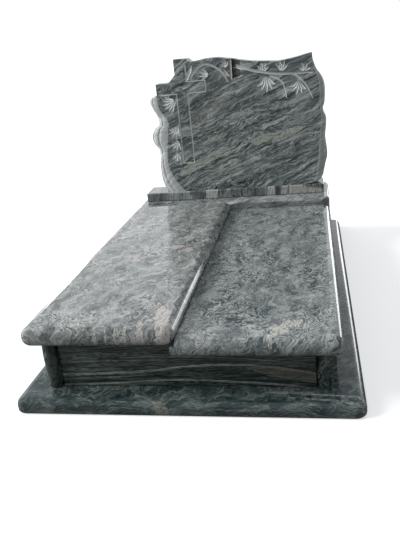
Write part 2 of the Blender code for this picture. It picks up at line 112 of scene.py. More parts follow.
def make_camera():
    data = bpy.data.cameras.new("camera")
    data.sensor_width = SENSOR
    data.lens = LENS_IN_PIXELS / max(PICTURE_SIZE) * SENSOR
    data.clip_end = FARTHEST_SEEN
    item = link("camera", data)
    right, up, forward = camera_axes(CAMERA_YAW, CAMERA_PITCH, CAMERA_ROLL)
    turn = Matrix((right, up, -forward)).transposed()
    item.matrix_world = Matrix.Translation(CAMERA_PLACE) @ turn.to_4x4()
    bpy.context.scene.camera = item
    print("lens", round(data.lens, 2), "mm")


make_camera()

# %% [markdown]
# The studio. Polished stone shows its surroundings, so the lights are as much a part of the finish as
# the stone. A lamp that the stone can see leaves a hard bright shape on a flat slab. The main light is
# therefore a low soft sun from the left that reflections don't show, and the broad sheen comes from the
# sky, which is brighter behind the stone than before it. Only two windows are left for reflections: they
# stand where just the rounded rims can see them, and draw the bright lines along the rims. The floor
# glows a little to keep the sun's shadow pale, and the stone sees a darker floor than the camera does.

# %% Floor, sky and soft lights
FLOOR_RADIUS = 60.0
FLOOR_SIDES = 96
FLOOR_ROUGHNESS = 0.9
FLOOR_SHEEN = 0.1
FLOOR_TONE = (0.72, 0.72, 0.72)
FLOOR_GLOW = 0.48
FLOOR_IN_STONE = (0.24, 0.24, 0.24)
SKY_BEHIND_CAMERA = (0.22, 0.23, 0.24)
SKY_BEHIND_STONE = (1.08, 1.12, 1.16)
SKY_ABOVE = (0.50, 0.52, 0.54)
SKY_SEEN = (1.0, 1.0, 1.0)
SKY_RISE = (0.26, 0.60)
SKY_TURN = (-0.75, 0.75)
SUN_PLACE = (-1.4, -0.3, 0.80)
SUN_STRENGTH = 3.4
SUN_ANGLE = math.radians(24)
WINDOWS = {
    # name: place, aim, width, height, watts, shown in reflections
    "right window": ((2.9, 5.4, 1.0), (0.2, 0.0, 0.25), 2.6, 1.2, 40.0, True),
    "left window": ((-3.6, 4.6, 1.2), (-0.3, 0.0, 0.2), 0.8, 1.6, 22.0, True),
    "side light": ((-3.4, 0.3, 1.4), (-0.4, 0.6, 0.7), 1.6, 1.6, 60.0, False),
}


def make_floor():
    bm = bmesh.new()
    bmesh.ops.create_circle(bm, cap_ends=True, segments=FLOOR_SIDES, radius=FLOOR_RADIUS)
    item = link_mesh("floor", bm)
    material = bpy.data.materials.new("pale floor")
    material.use_nodes = True
    shader = material.node_tree.nodes["Principled BSDF"]
    shader.inputs["Base Color"].default_value = (*FLOOR_TONE, 1.0)
    shader.inputs["Roughness"].default_value = FLOOR_ROUGHNESS
    shader.inputs["Emission Color"].default_value = (1.0, 1.0, 1.0, 1.0)
    shader.inputs["Emission Strength"].default_value = FLOOR_GLOW
    shader.inputs["Specular IOR Level"].default_value = FLOOR_SHEEN
    nodes, links = material.node_tree.nodes, material.node_tree.links
    grey = nodes.new("ShaderNodeBsdfDiffuse")
    grey.inputs["Color"].default_value = (*FLOOR_IN_STONE, 1.0)
    path = nodes.new("ShaderNodeLightPath")
    choice = nodes.new("ShaderNodeMixShader")
    links.new(path.outputs["Is Camera Ray"], choice.inputs["Fac"])
    links.new(grey.outputs["BSDF"], choice.inputs[1])
    links.new(shader.outputs["BSDF"], choice.inputs[2])
    links.new(choice.outputs["Shader"], nodes["Material Output"].inputs["Surface"])
    item.data.materials.append(material)
    item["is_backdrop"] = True


def make_sky():
    """A sky that is dim behind the camera, bright behind the stone and plain white where it is seen."""
    world = bpy.data.worlds.new("studio")
    world.use_nodes = True
    nodes, links = world.node_tree.nodes, world.node_tree.links
    background = nodes["Background"]
    direction = nodes.new("ShaderNodeTexCoord")
    parts = nodes.new("ShaderNodeSeparateXYZ")
    links.new(direction.outputs["Generated"], parts.inputs[0])
    before = background.inputs["Color"]
    path = nodes.new("ShaderNodeLightPath")
    steps = [
        (path.outputs["Is Camera Ray"], None, SKY_SEEN),
        (parts.outputs["Z"], SKY_RISE, SKY_ABOVE),
        (parts.outputs["Y"], SKY_TURN, SKY_BEHIND_STONE),
    ]
    for source, limits, colour in steps:
        if limits:
            share = nodes.new("ShaderNodeMapRange")
            share.interpolation_type = "SMOOTHSTEP"
            share.inputs["From Min"].default_value, share.inputs["From Max"].default_value = limits
            links.new(source, share.inputs["Value"])
            source = share.outputs["Result"]
        mix = nodes.new("ShaderNodeMix")
        mix.data_type = "RGBA"
        first, second = [socket for socket in mix.inputs if socket.type == "RGBA"]
        links.new(source, mix.inputs["Factor"])
        second.default_value = (*colour, 1.0)
        links.new(next(socket for socket in mix.outputs if socket.type == "RGBA"), before)
        before = first
    before.default_value = (*SKY_BEHIND_CAMERA, 1.0)
    bpy.context.scene.world = world


def add_light(data, place, aim, shown):
    item = link(data.name, data)
    item.location = place
    item.rotation_euler = (Vector(aim) - Vector(place)).to_track_quat("-Z", "Y").to_euler()
    item.visible_camera = False
    item.visible_glossy = shown


def make_window(name, place, aim, width, height, watts, shown):
    data = bpy.data.lights.new(name, "AREA")
    data.shape = "RECTANGLE"
    data.size = width
    data.size_y = height
    data.energy = watts
    add_light(data, place, aim, shown)


make_floor()
make_sky()
sun = bpy.data.lights.new("even light", "SUN")
sun.energy = SUN_STRENGTH
sun.angle = SUN_ANGLE
add_light(sun, SUN_PLACE, (0.0, 0.0, 0.0), False)
for window_name, window in WINDOWS.items():
    make_window(window_name, *window)
bpy.context.scene.view_settings.view_transform = "Standard"
print(1 + len(WINDOWS), "soft lights")

# %% [markdown]
# Shader maths. A stone pattern is a long sum of noises, and a sum is easier to read as an expression
# than as a list of nodes and links. One small class wraps a socket: adding, subtracting or multiplying
# two of them makes the Math node that does it. Everything else is made by one method, which takes a node
# type, its settings and what goes into its sockets.

# %% A socket that can be calculated with
class Value:
    """A shader socket in a sum. Each expression on it adds the Math node that works it out."""

    def __init__(self, recipe, socket):
        self.recipe = recipe
        self.socket = socket

    def math(self, operation, *others):
        inputs = dict(zip(("Value", "Value_001", "Value_002"), (self, *others)))
        return self.recipe.node("ShaderNodeMath", {"operation": operation}, inputs)

    def __add__(self, other):
        return self.math("ADD", other)

    def __mul__(self, other):
        return self.math("MULTIPLY", other)

    def __sub__(self, other):
        return self.math("SUBTRACT", other)

    def __rsub__(self, other):
        return self.math("MULTIPLY", -1.0) + other

    def __abs__(self):
        return self.math("ABSOLUTE")

    __radd__ = __add__
    __rmul__ = __mul__


# %% A material's recipe
class Recipe:
    """One material's node tree, with short names for the nodes that stone needs."""

    def __init__(self, name):
        self.material = bpy.data.materials.new(name)
        self.material.use_nodes = True
        self.tree = self.material.node_tree
        self.shader = self.tree.nodes["Principled BSDF"]

    def node(self, kind, settings=None, inputs=None, output=0):
        made = self.tree.nodes.new(kind)
        for name, value in (settings or {}).items():
            if name == "stops":
                self.set_stops(made.color_ramp, value)
            else:
                setattr(made, name, value)
        for name, value in (inputs or {}).items():
            self.feed(next(s for s in made.inputs if name in (s.identifier, s.name)), value)
        if isinstance(output, str):
            output = next(i for i, s in enumerate(made.outputs) if output in (s.identifier, s.name))
        return Value(self, made.outputs[output])

    def set_stops(self, ramp, stops):
        while len(ramp.elements) < len(stops):
            ramp.elements.new(0.5)
        for element, (place, colour) in zip(ramp.elements, stops):
            element.position = place
            element.color = (*colour, 1.0)

    def feed(self, socket, value):
        if isinstance(value, Value):
            self.tree.links.new(value.socket, socket)
        elif isinstance(value, tuple) and socket.type == "RGBA":
            socket.default_value = (*value, 1.0)
        else:
            socket.default_value = value

    def noise(self, vector, scale, detail=2.0, roughness=0.5, output="Fac"):
        inputs = {"Vector": vector, "Scale": scale, "Detail": detail, "Roughness": roughness}
        return self.node("ShaderNodeTexNoise", {}, inputs, output)

    def soft(self, value, low, high):
        """0 below low, 1 above high and a smooth rise between them."""
        inputs = {"Value": value, "From Min": low, "From Max": high}
        return self.node("ShaderNodeMapRange", {"interpolation_type": "SMOOTHSTEP"}, inputs)

    def mix(self, share, first, second):
        inputs = {"Factor_Float": share, "A_Color": first, "B_Color": second}
        return self.node("ShaderNodeMix", {"data_type": "RGBA"}, inputs, "Result_Color")

    def vector(self, operation, first, second):
        inputs = {"Vector": first, "Vector_001": second}
        return self.node("ShaderNodeVectorMath", {"operation": operation}, inputs)

    def scaled(self, vector, factor):
        return self.node("ShaderNodeVectorMath", {"operation": "SCALE"}, {"Vector": vector, "Scale": factor})


print("shader classes are ready")

# %% [markdown]
# The stone. This granite was squeezed while it was hot, so its minerals lie in folded layers. A cut
# across the layers shows long stripes, and a cut almost along them shows swirls and islands. One
# pattern can give both: noise that is stretched along a bed plane, in a space that is first folded by
# slower noise. Each piece only says how its bed plane lies. Single veins that stand out are added one
# by one, as streaks between two points with a frayed edge and a dark outline.

# %% A streak between two points
def streak(across, up, start, end, width, bow):
    """1 in the middle of a band from start to end, 0 on its edge and less outside. The band's middle
    bulges sideways by bow, and its ends are pointed."""
    run = end[0] - start[0]
    rise = end[1] - start[1]
    length = math.hypot(run, rise)
    from_x = across - start[0]
    from_z = up - start[1]
    along = (from_x * run + from_z * rise) * (1 / length**2)
    off = (from_z * run - from_x * rise) * (1 / length)
    arch = along * (1 - along) * 4
    taper = (arch * 1.5).math("MINIMUM", 1.0)
    return taper - abs(off - arch * bow) * (2 / width)


# %% The layered stone
FOLD_SCALE = 2.3
CURL_SCALE = 11.0
RIPPLE_SCALE = 42.0
RING_COUNT = 95.0
CRYSTAL_SCALE = 330.0
GRIT_SCALE = 190.0
RELIEF = 0.0012
STONE_IOR = 1.52
FINISHES = {
    # name: lightening (below zero it darkens, as painted shade), roughness, bump strength
    "polished": (0.0, 0.10, 0.02),
    "honed": (0.38, 0.40, 0.12),
    "cut": (0.90, 0.80, 0.45),
    "brushed": (0.64, 0.60, 0.30),
    "sawn": (0.22, 0.62, 0.30),
    # painted shade: darkens the carved hollow beside the fold, where shade falls
    "smoked": (-0.78, 0.16, 0.05),
}
# the dark brown that the painted shade mixes into the hollow's colour
SHADE_UMBER = (0.034, 0.032, 0.026)


def granite(name, turn, shades, fold=0.10, curl=0.035, ripple=0.006, stripe=9.0, shift=(0.0, 0.0, 0.0),
            patch=0.60, rings=0.25, size=1.0, finish="polished", plane="XZ", streaks=(), frayed=0.8,
            contrast=(0.32, 0.68), gloss=0.5, fine=0.42):
    """A layered granite. Shades are its dark, middle, pale and patch colours. Fine is the fibres' share of
    the tone, contrast is the span of the pattern that runs from dark to pale, and frayed is how ragged
    the edges of the streaks are."""
    dark, middle, pale, warm = shades
    lighten, roughness, bump = FINISHES[finish]
    recipe = Recipe(name)
    place = recipe.node("ShaderNodeTexCoord", output="Object")
    turned = {"Vector": place, "Rotation": tuple(map(math.radians, turn)), "Location": shift}
    bed = recipe.node("ShaderNodeMapping", {}, turned | {"Scale": (size, size, size)})
    folded = bed
    for scale, reach in ((FOLD_SCALE, 2.0 * fold), (CURL_SCALE, 2.0 * curl), (RIPPLE_SCALE, 2.0 * ripple)):
        bend = recipe.vector("SUBTRACT", recipe.noise(bed, scale, 2.0, output="Color"), (0.5, 0.5, 0.5))
        folded = recipe.vector("ADD", folded, recipe.scaled(bend, reach))

    def layered(stretch, scale, detail, rough):
        drawn_out = recipe.vector("MULTIPLY", folded, (1.0, 1.0, stretch * stripe))
        return recipe.noise(drawn_out, scale, detail, rough)

    layers = layered(1.0, 5.0, 6.0, 0.62)
    contour = layered(0.8, 3.4, 3.0, 0.55)
    fibres = layered(1.8, 14.0, 4.0, 0.72)
    islands = layered(0.36, 5.2, 4.0, 0.60)
    ringed = (contour * RING_COUNT).math("SINE") * 0.5 + 0.5
    near = recipe.node("ShaderNodeMath", {"operation": "PINGPONG"}, {"Value": contour, "Value_001": 0.055})
    threads = recipe.soft(near, 0.040, 0.053) * recipe.soft(fibres, 0.40, 0.58)
    rim_line = 1 - recipe.soft(abs(islands - patch), 0.004, 0.022)
    busy = recipe.soft(recipe.noise(bed, 4.2, 2.0, 0.6), 0.38, 0.64)
    crystals = recipe.node("ShaderNodeTexVoronoi", {}, {"Vector": place, "Scale": CRYSTAL_SCALE}, "Color")
    grain = recipe.node("ShaderNodeSeparateColor", {}, {"Color": crystals})
    grit = recipe.noise(place, GRIT_SCALE, 3.0, 0.7)

    tone = recipe.soft(layers * (1 - fine) + fibres * fine + (ringed - 0.5) * busy * rings, *contrast)
    between = tuple((m + p) / 2 for m, p in zip(middle, pale))
    stops = [(0.0, dark), (0.48, middle), (0.80, between), (1.0, pale)]
    colour = recipe.node("ShaderNodeValToRGB", {"stops": stops}, {"Fac": tone}, "Color")
    colour = recipe.mix(threads * 0.7, colour, pale)
    colour = recipe.mix(recipe.soft(islands, patch, patch + 0.05) * (fibres * 0.8 + 0.4), colour, warm)
    colour = recipe.mix(rim_line * 0.55, colour, dark)
    axes = recipe.node("ShaderNodeSeparateXYZ", {}, {"Vector": place}, plane[0])
    other = recipe.node("ShaderNodeSeparateXYZ", {}, {"Vector": place}, plane[1])
    ragged = layered(0.5, 16.0, 3.0, 0.6)
    fray = (ragged - 0.5) * (4 * frayed)
    veined = recipe.soft(fibres + (ringed - 0.5) * 0.16, 0.38, 0.58) * 0.72 + 0.25
    for start, end, width, bow, tint, strength in streaks:
        body = streak(axes, other, start, end, width, bow) + fray
        colour = recipe.mix(recipe.soft(body, 0.0, 0.16) * veined * strength, colour, tint)
        edge = 1 - recipe.soft(abs(body + 0.06), 0.02, 0.12)
        colour = recipe.mix(edge * (0.8 * strength), colour, dark)
    colour = recipe.scaled(colour, grain * 0.36 + grit * 0.40 + 0.62)
    if lighten > 0:
        colour = recipe.mix(lighten, colour, tuple(0.60 * p + 0.42 for p in pale))
    # a negative lightening paints shade into the colour
    elif lighten < 0:
        colour = recipe.mix(-lighten, colour, SHADE_UMBER)

    recipe.feed(recipe.shader.inputs["Base Color"], colour)
    recipe.feed(recipe.shader.inputs["Roughness"], grain * 0.05 + layers * 0.06 + (roughness - 0.05))
    recipe.shader.inputs["IOR"].default_value = STONE_IOR
    recipe.shader.inputs["Specular IOR Level"].default_value = gloss
    relief = recipe.node(
        "ShaderNodeBump", {}, {"Strength": bump, "Distance": RELIEF, "Height": grain * 0.4 + grit * 0.6}
    )
    recipe.feed(recipe.shader.inputs["Normal"], relief)
    return recipe.material


print(len(FINISHES), "finishes of the same stone")

# %% [markdown]
# The colours of each piece. The pieces were sawn from different parts of the block, so their bed planes
# and shades differ: the kerb is almost black with pale level stripes, the left cover slab is the palest,
# and the headstone is a blue-grey with stripes that climb to the right and a greenish vein at its foot.
# The turn of the bed is given in degrees about X, Y and Z, and the streaks are real places in metres.

# %% Stone for each piece
BEIGE = (0.200, 0.212, 0.178)
GREEN_GREY = (0.420, 0.440, 0.385)
SILVER = (0.300, 0.330, 0.325)
BROWN = (0.125, 0.092, 0.066)
PALE = (0.400, 0.415, 0.390)
BEIGE_LIGHT = (0.460, 0.445, 0.395)
INK = (0.010, 0.015, 0.014)

BASE_SHADES = ((0.009, 0.017, 0.018), (0.038, 0.056, 0.056), (0.170, 0.192, 0.180), (0.085, 0.094, 0.080))
KERB_SHADES = ((0.004, 0.010, 0.008), (0.018, 0.034, 0.030), (0.140, 0.168, 0.148), (0.060, 0.067, 0.055))
LEFT_SHADES = ((0.044, 0.052, 0.050), (0.178, 0.190, 0.187), (0.430, 0.440, 0.422), (0.385, 0.355, 0.325))
RIGHT_SHADES = ((0.036, 0.047, 0.047), (0.148, 0.166, 0.168), (0.365, 0.385, 0.368), (0.300, 0.300, 0.270))
BLOCK_SHADES = ((0.040, 0.050, 0.052), (0.185, 0.200, 0.200), (0.420, 0.435, 0.425), (0.240, 0.240, 0.205))
STONE_SHADES = ((0.022, 0.036, 0.037), (0.124, 0.147, 0.147), (0.550, 0.580, 0.560), (0.230, 0.240, 0.205))

# each streak: start, end, width, bow, tint, strength
STONE_STREAKS = [
    ((-0.300, 0.398), (0.035, 0.548), 0.050, 0.012, GREEN_GREY, 0.85),
    ((-0.220, 0.345), (0.100, 0.470), 0.030, 0.008, GREEN_GREY, 0.65),
    ((-0.170, 0.540), (0.010, 0.615), 0.036, 0.006, GREEN_GREY, 0.45),
    ((0.090, 0.560), (0.385, 0.620), 0.052, -0.008, GREEN_GREY, 0.85),
    ((0.240, 0.540), (0.480, 0.592), 0.016, 0.008, PALE, 0.90),
    ((0.240, 0.618), (0.480, 0.700), 0.030, -0.008, SILVER, 0.85),
    ((0.000, 0.686), (0.140, 0.718), 0.028, 0.004, PALE, 0.80),
    ((-0.210, 0.640), (0.040, 0.780), 0.080, 0.020, (0.205, 0.190, 0.170), 0.45),
    ((-0.250, 0.790), (-0.070, 0.864), 0.014, 0.004, SILVER, 0.80),
    ((-0.100, 0.787), (0.200, 0.890), 0.012, 0.004, SILVER, 0.75),
    ((0.020, 0.745), (0.300, 0.845), 0.012, 0.006, SILVER, 0.70),
    ((0.060, 0.440), (0.130, 0.470), 0.040, 0.010, SILVER, 0.60),
    ((0.280, 0.470), (0.440, 0.512), 0.020, 0.006, SILVER, 0.65),
    ((-0.060, 0.400), (0.200, 0.445), 0.018, 0.008, SILVER, 0.60),
    ((0.024, 0.985), (0.026, 0.850), 0.034, 0.000, BROWN, 0.75),
]
PANEL_STREAKS = [
    ((-0.520, 0.090), (0.010, 0.116), 0.0100, -0.006, PALE, 0.60),
    ((-0.520, 0.052), (0.060, 0.082), 0.0080, -0.006, PALE, 0.60),
    ((-0.110, 0.072), (0.430, 0.044), 0.0085, 0.010, PALE, 0.70),
    ((-0.120, 0.104), (0.560, 0.052), 0.0085, 0.046, PALE, 0.85),
    ((0.190, 0.118), (0.560, 0.052), 0.0420, 0.004, (0.175, 0.166, 0.138), 0.90),
    ((-0.500, 0.072), (-0.060, 0.096), 0.0040, -0.004, SILVER, 0.50),
    ((-0.260, 0.150), (0.440, 0.122), 0.0045, 0.018, SILVER, 0.70),
    ((-0.480, 0.136), (0.020, 0.146), 0.0030, 0.002, SILVER, 0.45),
    ((0.000, 0.164), (0.460, 0.146), 0.0030, 0.006, SILVER, 0.45),
]
BASE_STREAKS = [
    ((-0.480, -0.905), (-0.345, -0.985), 0.020, 0.010, BEIGE, 0.50),
    ((-0.170, -0.880), (-0.060, -0.930), 0.010, 0.006, BEIGE, 0.70),
    ((-0.100, -0.910), (0.020, -0.985), 0.024, 0.012, BEIGE, 0.75),
    ((0.060, -0.925), (0.140, -0.965), 0.012, 0.004, BEIGE, 0.50),
    ((0.240, -0.860), (0.620, -0.905), 0.014, 0.010, SILVER, 0.55),
    ((0.300, -0.885), (0.620, -0.930), 0.008, 0.006, SILVER, 0.60),
    ((0.340, -0.870), (0.600, -0.885), 0.006, 0.003, SILVER, 0.60),
    ((-0.480, -0.300), (-0.460, 0.600), 0.030, 0.012, SILVER, 0.50),
    ((0.500, -0.500), (0.480, 0.300), 0.024, 0.010, SILVER, 0.50),
]
RIGHT_STREAKS = [
    ((0.275, -0.900), (0.388, -0.768), 0.050, 0.012, BEIGE_LIGHT, 1.00),
    ((0.310, -0.765), (0.390, -0.705), 0.022, 0.006, PALE, 0.80),
    ((0.060, -0.900), (0.160, -0.960), 0.034, 0.000, PALE, 0.35),
    ((0.040, -0.860), (0.110, -0.620), 0.040, 0.010, BEIGE_LIGHT, 0.20),
    ((0.330, -0.640), (0.500, -0.560), 0.030, 0.006, PALE, 0.55),
    ((0.060, -0.500), (0.140, -0.360), 0.034, 0.008, PALE, 0.50),
    ((0.130, 0.050), (0.330, 0.170), 0.040, 0.010, PALE, 0.40),
]
LEFT_STREAKS = [
    ((-0.070, -0.745), (-0.025, -0.975), 0.058, 0.008, (0.520, 0.480, 0.445), 0.90),
    ((-0.105, -0.850), (-0.100, -1.000), 0.022, 0.004, BEIGE_LIGHT, 0.80),
    ((-0.150, -0.870), (-0.145, -1.000), 0.013, 0.003, BEIGE_LIGHT, 0.80),
    ((-0.180, -0.885), (-0.176, -1.000), 0.009, 0.003, BEIGE_LIGHT, 0.80),
    ((-0.210, -0.885), (-0.205, -1.000), 0.011, 0.003, BEIGE_LIGHT, 0.80),
    ((-0.245, -0.880), (-0.240, -1.000), 0.013, 0.003, BEIGE_LIGHT, 0.60),
    ((-0.420, -0.760), (-0.250, -0.840), 0.040, 0.010, PALE, 0.40),
    ((-0.300, -0.350), (-0.140, -0.460), 0.044, 0.010, PALE, 0.40),
]
PLINTH_STREAKS = [
    ((-0.410, 0.200), (-0.400, 0.410), 0.110, 0.000, INK, 0.50),
    ((-0.315, 0.200), (-0.300, 0.410), 0.018, 0.000, SILVER, 0.60),
    ((-0.255, 0.200), (-0.245, 0.410), 0.040, 0.000, SILVER, 0.90),
    ((-0.190, 0.200), (-0.180, 0.410), 0.068, 0.000, INK, 0.50),
    ((-0.120, 0.200), (-0.104, 0.410), 0.068, 0.000, (0.47, 0.46, 0.44), 1.00),
    ((-0.010, 0.200), (0.000, 0.410), 0.120, 0.000, INK, 0.40),
    ((0.120, 0.200), (0.135, 0.410), 0.080, 0.000, INK, 0.50),
    ((0.190, 0.200), (0.212, 0.410), 0.042, 0.000, (0.42, 0.44, 0.45), 1.00),
    ((0.232, 0.200), (0.238, 0.410), 0.030, 0.000, INK, 1.00),
    ((0.345, 0.200), (0.360, 0.410), 0.225, 0.000, (0.42, 0.415, 0.375), 1.00),
    ((0.330, 0.352), (0.600, 0.318), 0.054, 0.000, INK, 1.00),
]

STONE_BED = (0.0, 24.0, 0.0)
stone = {
    "base": granite("base granite", (8.0, 5.0, 12.0), BASE_SHADES, 0.08, 0.03, 0.004, 8.0, patch=0.68,
                    rings=0.14, size=1.4, plane="XY", streaks=BASE_STREAKS),
    "kerb": granite("kerb granite", (2.0, 1.5, 0.0), KERB_SHADES, 0.016, 0.004, 0.0006, 20.0,
                    (0.3, 0.1, 0.0), 0.76, rings=0.20, streaks=PANEL_STREAKS, frayed=0.12, gloss=0.38),
    "post": granite("post granite", (40.0, 70.0, 0.0), KERB_SHADES, 0.08, 0.05, 0.010, 3.0,
                    (1.3, 0.4, 0.2), 0.58, rings=0.3, size=1.8, gloss=0.4),
    "left ledger": granite("left ledger granite", (15.0, 68.0, 20.0), LEFT_SHADES, 0.12, 0.07, 0.016, 4.0,
                           (0.7, 0.2, 0.4), 0.62, rings=0.22, size=1.6, plane="XY", streaks=LEFT_STREAKS,
                           frayed=0.7, contrast=(0.33, 0.67)),
    "right ledger": granite("right ledger granite", (20.0, 62.0, -30.0), RIGHT_SHADES, 0.12, 0.07, 0.016, 4.0,
                            (2.1, 0.9, 0.1), 0.62, rings=0.26, size=1.6, plane="XY", streaks=RIGHT_STREAKS,
                            frayed=1.2, contrast=(0.31, 0.69)),
    "rear block": granite("rear block granite", (5.0, 12.0, 0.0), BLOCK_SHADES, 0.08, 0.03, 0.005, 8.0,
                          (0.5, 1.4, 0.0), rings=0.14, size=1.3),
    "plinth": granite("plinth granite", (0.0, 82.0, 0.0), BLOCK_SHADES, 0.03, 0.01, 0.002, 6.0,
                      (0.2, 0.0, 0.9), 0.95, rings=0.14, streaks=PLINTH_STREAKS, frayed=0.12),
}
headstone_stone = [
    granite("headstone " + finish, STONE_BED, STONE_SHADES, 0.062, 0.024, 0.0040, 10.0, (0.9, 0.3, 0.6),
            0.68, rings=0.15, size=1.20, finish=finish, streaks=STONE_STREAKS, frayed=0.5,
            contrast=(0.33, 0.69), fine=0.34)
    for finish in ("polished", "honed", "cut", "brushed", "sawn", "smoked")
]
POLISHED, HONED, CUT, BRUSHED, SAWN, PAINTED_SHADE = range(6)
print(len(stone) + len(headstone_stone), "stone materials")

# %% [markdown]
# The slabs. A stonemason saws a slab to size, rounds its upright corners and then runs a round profile
# along its rims. The same order works with bmesh: a cube, a bevel on the four upright edges, and a bevel
# on the upper and the lower rim. A last narrow inset on the big flat faces keeps them truly flat when
# the mesh is shaded smooth, because the soft shading then ends at the inset and doesn't spread inwards.

# %% Helpers for masonry
FINE_SEGMENTS = 12
HOLD_WIDTH = 0.003
LARGE_FACE = 0.02
SHARP_ANGLE = math.radians(32)
SAME = 1e-5
ARRIS = 0.0016
ARRIS_SEGMENTS = 2
FAR_LEFT = -10.0


def finish_piece(bm, node, materials, ending="_stone"):
    """Turns a bmesh into a smooth-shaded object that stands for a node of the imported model."""
    bmesh.ops.recalc_face_normals(bm, faces=bm.faces)
    item = link_mesh(node + ending, bm)
    for material in materials:
        item.data.materials.append(material)
    item.data.shade_smooth()
    item.data.set_sharp_from_angle(angle=SHARP_ANGLE)
    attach(item, "root")
    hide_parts(node)
    print(item.name, len(item.data.polygons), "faces")


def box(low, high):
    bm = bmesh.new()
    bmesh.ops.create_cube(bm, size=1.0)
    bmesh.ops.scale(bm, vec=high - low, verts=bm.verts)
    bmesh.ops.translate(bm, vec=(high + low) / 2, verts=bm.verts)
    return bm


def round_over(bm, edges, radius, segments=FINE_SEGMENTS):
    bmesh.ops.bevel(bm, geom=edges, offset=radius, offset_type="OFFSET", segments=segments, profile=0.5,
                    affect="EDGES", clamp_overlap=True, material=-1)


def rim(bm, height, right_of=FAR_LEFT):
    """Edges at one height, leaving out those that lie wholly left of a place."""
    return [
        edge for edge in bm.edges
        if all(abs(vert.co.z - height) < SAME for vert in edge.verts)
        and any(vert.co.x > right_of for vert in edge.verts)
    ]


def hold_flats(bm):
    large = [face for face in bm.faces if face.calc_area() > LARGE_FACE]
    bmesh.ops.inset_individual(bm, faces=large, thickness=HOLD_WIDTH, depth=0.0, use_even_offset=True)


def slab(low, high, corner, top_round, foot_round, square_left=False):
    bm = box(low, high)
    left = low.x + corner if square_left else FAR_LEFT
    upright = [
        edge for edge in bm.edges
        if abs(edge.verts[0].co.z - edge.verts[1].co.z) > SAME and edge.verts[0].co.x > left
    ]
    round_over(bm, upright, corner)
    round_over(bm, rim(bm, high.z, left), top_round)
    round_over(bm, rim(bm, low.z, left), foot_round)
    return bm


# %% Base slab
BASE_CORNER = 0.036
BASE_TOP_ROUND = 0.028
BASE_FOOT_ROUND = 0.010

bm = slab(*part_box("base_slab"), BASE_CORNER, BASE_TOP_ROUND, BASE_FOOT_ROUND)
hold_flats(bm)
finish_piece(bm, "base_slab", [stone["base"]])

# %% [markdown]
# The kerb. Four upright panels stand on the base slab and leave the middle empty. Their sawn edges are
# only broken by a narrow arris, so a cube with a small bevel on every edge is enough. The front and left
# panels have a raised part under the higher cover slab: they start as an outline of six points that is
# filled and extruded through the panel's thickness.

# %% Kerb panels
def prism(outline, axis, low, high):
    """A flat outline, extruded along an axis from low to high."""
    bm = bmesh.new()
    if axis == "Y":
        corners = [bm.verts.new((across, low, up)) for across, up in outline]
        move = Vector((0, high - low, 0))
    else:
        corners = [bm.verts.new((low, across, up)) for across, up in outline]
        move = Vector((high - low, 0, 0))
    face = bm.faces.new(corners)
    grown = bmesh.ops.extrude_face_region(bm, geom=[face])
    moved = [item for item in grown["geom"] if isinstance(item, bmesh.types.BMVert)]
    bmesh.ops.translate(bm, vec=move, verts=moved)
    return bm


def sharp_edges(bm):
    """Edges where two faces meet at a clear angle."""
    return [edge for edge in bm.edges if len(edge.link_faces) == 2 and edge.calc_face_angle() > SHARP_ANGLE]


def soften(bm):
    bmesh.ops.recalc_face_normals(bm, faces=bm.faces)
    round_over(bm, sharp_edges(bm), ARRIS, ARRIS_SEGMENTS)


JOINT = 0.0003
left_low, left_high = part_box("ledger_left")
right_low, right_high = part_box("ledger_right")
step_top = left_low.z - JOINT
kerb_top = right_low.z - JOINT
step_x = right_low.x - JOINT

low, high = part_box("front_panel")
bm = prism(
    [(low.x, low.z), (high.x, low.z), (high.x, kerb_top), (step_x, kerb_top), (step_x, step_top),
     (low.x, step_top)],
    "Y", low.y, high.y,
)
soften(bm)
finish_piece(bm, "front_panel", [stone["kerb"]])

low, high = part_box("left_panel")
bm = prism(
    [(low.y, low.z), (high.y, low.z), (high.y, kerb_top), (left_high.y, kerb_top), (left_high.y, step_top),
     (low.y, step_top)],
    "X", low.x, high.x,
)
soften(bm)
finish_piece(bm, "left_panel", [stone["kerb"]])

for node in ("right_panel", "back_panel"):
    bm = box(*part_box(node))
    soften(bm)
    finish_piece(bm, node, [stone["kerb"]])

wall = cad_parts["cross_wall"]
wall.data.materials.clear()
wall.data.materials.append(stone["kerb"])
print("the cross wall inside the kerb keeps its packed mesh, because no view shows it")

# %% [markdown]
# The posts. Both front corners have a post that was turned on a lathe: narrow at the foot, full just
# above the middle and slightly drawn in under the slab. A lathe shape is half a profile and a full spin
# about the post's axis. The doubles on the axis are merged, and the normals are worked out afresh after
# that, because a spin can come out inside out.

# %% Turned posts
POST_FOOT = 0.8077
POST_NECK = 0.9231
POST_BELLY_PLACE = 0.58
POST_ROWS = 28
POST_TURNS = 64


def post_radius(share, belly):
    if share < POST_BELLY_PLACE:
        swell = math.sin(math.pi / 2 * share / POST_BELLY_PLACE)
        return belly * (POST_FOOT + (1 - POST_FOOT) * swell)
    draw = math.sin(math.pi / 2 * (share - POST_BELLY_PLACE) / (1 - POST_BELLY_PLACE)) ** 2
    return belly * (1 + (POST_NECK - 1) * draw)


